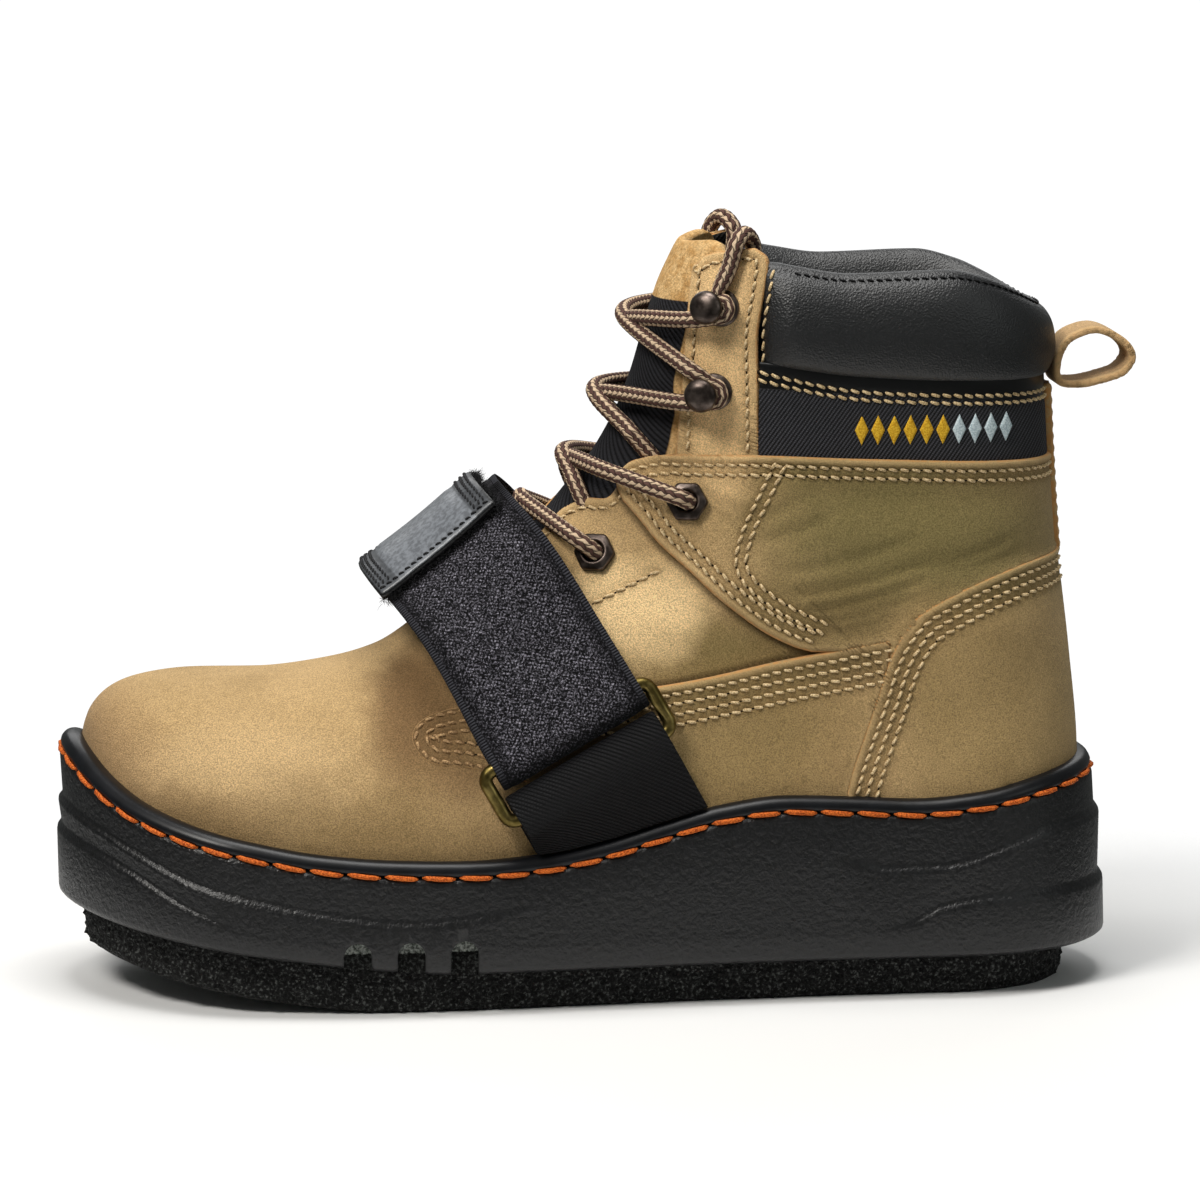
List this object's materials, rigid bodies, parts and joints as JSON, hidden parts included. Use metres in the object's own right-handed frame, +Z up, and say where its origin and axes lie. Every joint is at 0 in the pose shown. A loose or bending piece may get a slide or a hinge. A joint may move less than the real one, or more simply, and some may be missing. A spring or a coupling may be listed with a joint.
{
  "type": "roofing boot",
  "caption": "Ankle-high lace-up roofing boot for the left foot: nubuck upper, padded collar, instep strap with ring, moulded cup midsole and soft flat foam grip pad.",
  "frame": {"origin": "on the floor, on the flat underside of the foam pad, under the middle of the sole's length", "axes": "+X along the foot towards the toe, +Y to the wearer's left (the outer side of this left boot), +Z up"},
  "size_m": [0.3171, 0.1177, 0.2246],
  "materials": {
    "nubuck": "tan brushed nubuck, fine nap",
    "collar_leather": "black pebbled leather, satin",
    "twill": "black twill, matte",
    "suede": "tan suede, rough",
    "webbing": "black woven webbing with hook and loop face",
    "strap_patch": "grey-black coated patch",
    "lace": "round braid, brown with pale stripes",
    "bronze": "dark bronze, half gloss",
    "brass": "worn brass",
    "moulded_rubber": "black moulded rubber, pebbled",
    "rim_rubber": "black moulded rubber, satin",
    "foam": "black open cell foam",
    "lining": "black cloth cover"
  },
  "bodies": {
    "root": {"backstay": "nubuck", "collar_band": "twill", "collar_pad": "collar_leather", "counter": "nubuck", "eyelet_high_lateral": "bronze", "eyelet_high_medial": "bronze", "eyelet_low_lateral": "bronze", "eyelet_low_medial": "bronze", "hook_high_lateral": "bronze", "hook_high_medial": "bronze", "hook_low_lateral": "bronze", "hook_low_medial": "bronze", "insole": "lining", "lace_crossing_1": "lace", "lace_crossing_2": "lace", "lace_crossing_3": "lace", "lace_crossing_4": "lace", "lace_end_lateral": "lace", "lace_end_medial": "lace", "midsole": "moulded_rubber", "outsole_pad": "foam", "pull_loop": "suede", "quarter_lateral": "nubuck", "quarter_medial": "nubuck", "ring": "brass", "ring_webbing": "webbing", "side_panel_lateral": "nubuck", "side_panel_medial": "nubuck", "strap": "webbing", "strap_tab": "strap_patch", "tongue": "suede", "upper": "nubuck", "welt": "rim_rubber"}
  },
  "joints": []
}
